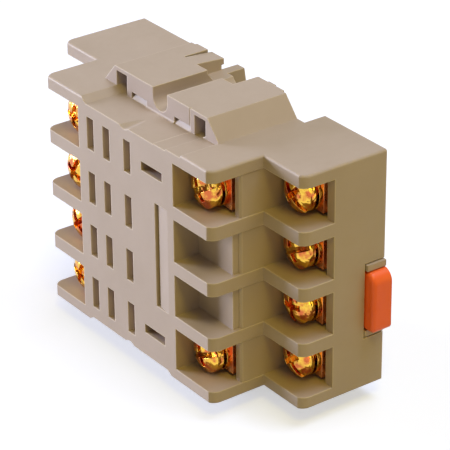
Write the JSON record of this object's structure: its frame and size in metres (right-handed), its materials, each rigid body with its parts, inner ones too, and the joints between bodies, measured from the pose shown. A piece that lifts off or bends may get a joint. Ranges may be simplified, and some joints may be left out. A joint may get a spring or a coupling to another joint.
{
  "type": "relay socket",
  "caption": "Beige screw-terminal relay socket with four blade rows, stepped terminal tiers and an orange slider that releases a 35 mm rail.",
  "frame": {"origin": "middle of the rail seat, the flat back face that bears on the rail", "axes": "+Y out of the back, towards the rail; +X along the socket towards the release slider; +Z across the poles, upwards when it stands on its side as pictured"},
  "size_m": [0.0691, 0.0271, 0.0488],
  "materials": {
    "housing": "satin",
    "base": "satin",
    "slider": "satin",
    "contact": "stamped",
    "screw": "yellow zinc",
    "spring": "drawn wire"
  },
  "bodies": {
    "socket": {"front_housing": "housing", "rear_base": "base", "latch_spring": "spring", "terminal_screws": "screw", "terminal_washers": "screw", "contact_left_outer_1": "contact", "contact_left_inner_1": "contact", "contact_right_outer_1": "contact", "contact_left_outer_2": "contact", "contact_left_inner_2": "contact", "contact_right_outer_2": "contact", "contact_left_outer_3": "contact", "contact_left_inner_3": "contact", "contact_right_outer_3": "contact", "contact_left_outer_4": "contact", "contact_left_inner_4": "contact", "contact_right_outer_4": "contact", "contact_coil_1": "contact", "contact_coil_4": "contact"},
    "slider": {"release_slider": "slider"}
  },
  "joints": [
    {"name": "release_slide", "type": "slide", "parent": "socket", "child": "slider", "axis": [1, 0, 0], "range_m": [0, 0.003], "stiffness_N_per_m": 1500, "springref_m": -0.001, "deforming": ["latch_spring"]}
  ]
}
